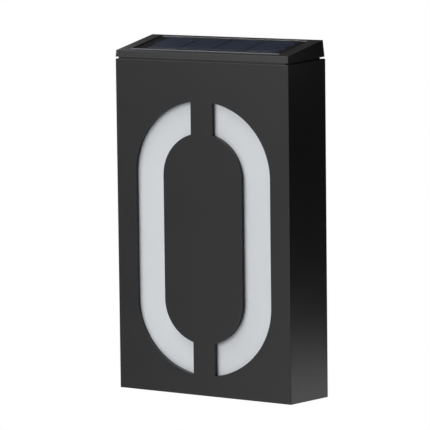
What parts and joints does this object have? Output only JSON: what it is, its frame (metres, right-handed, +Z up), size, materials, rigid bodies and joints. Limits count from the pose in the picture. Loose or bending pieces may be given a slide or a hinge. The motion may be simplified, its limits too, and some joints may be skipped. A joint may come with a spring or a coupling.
{
  "type": "illuminated house number sign",
  "caption": "Upright wall-hung solar light with a stencil digit lit from behind, a plug-in solar head and a push switch underneath.",
  "frame": {"origin": "midway between the two wall screws, on the wall plane", "axes": "+X to the right seen from the front, +Y into the wall, +Z up"},
  "size_m": [0.1166, 0.038, 0.2007],
  "materials": {
    "satin_black": "satin black moulding",
    "opal": "opal sheet, satin",
    "white_tray": "white moulding",
    "white_board": "white solder mask",
    "led": "phosphor in a white body",
    "zinc_screw": "zinc plated",
    "stainless_screw": "stainless",
    "dark_moulding": "dark grey moulding",
    "brass": "gold plated",
    "lead": "insulated lead",
    "natural_nylon": "natural nylon",
    "back_cover": "black moulding, fine grain",
    "seal": "soft seal",
    "black_steel": "powder coated",
    "rivet": "plain",
    "bumper": "soft rubber",
    "plate_steel": "black powder coat",
    "button": "dark silicone",
    "battery_wrap": "shrink sleeve",
    "spring_steel": "nickel plated",
    "control_board": "green solder mask",
    "component": "black component body",
    "substrate": "dark backing sheet",
    "cell": "dark blue silicon",
    "tinned": "tinned",
    "clear_cover": "clear resin"
  },
  "bodies": {
    "wall_plate": {"wall_plate": "plate_steel"},
    "lamp": {"housing": "satin_black", "diffuser": "opal", "reflector_tray": "white_tray", "tray_screws": "zinc_screw", "led_board_left": "white_board", "led_board_right": "white_board", "led_chips": "led", "led_board_screws": "zinc_screw", "contact_block": "dark_moulding", "contact_block_screws": "zinc_screw", "contact_pins": "brass", "switch_body": "dark_moulding", "switch_screws": "zinc_screw", "switch_leads": "lead", "led_leads": "lead", "link_leads": "lead", "lead_clips": "natural_nylon", "back_cover": "back_cover", "back_cover_seal": "seal", "back_cover_screws": "stainless_screw", "hanger_rail": "black_steel", "rail_rivets": "rivet", "wall_bumpers": "bumper"},
    "power_button": {"switch_button": "button", "switch_plunger": "natural_nylon"},
    "solar_head": {"solar_cap": "satin_black", "head_seal": "seal", "battery_tray": "dark_moulding", "head_screws": "zinc_screw", "battery": "battery_wrap", "battery_contacts": "spring_steel", "battery_leads": "lead", "control_board": "control_board", "board_components": "component", "control_board_screws": "zinc_screw", "contact_studs": "brass", "solar_leads": "lead", "solar_substrate": "substrate", "solar_cells": "cell", "solar_tabs": "tinned", "solar_cover": "clear_cover"}
  },
  "joints": [
    {"name": "unhook_slide", "type": "slide", "parent": "wall_plate", "child": "lamp", "axis": [0, 0, 1], "range_m": [0, 0.008]},
    {"name": "head_lift", "type": "slide", "parent": "lamp", "child": "solar_head", "axis": [0, 0, 1], "range_m": [0, 0.03]},
    {"name": "power_press", "type": "slide", "parent": "lamp", "child": "power_button", "axis": [0, 0, 1], "range_m": [0, 0.0015], "stiffness_N_per_m": 300, "springref_m": -0.001}
  ]
}
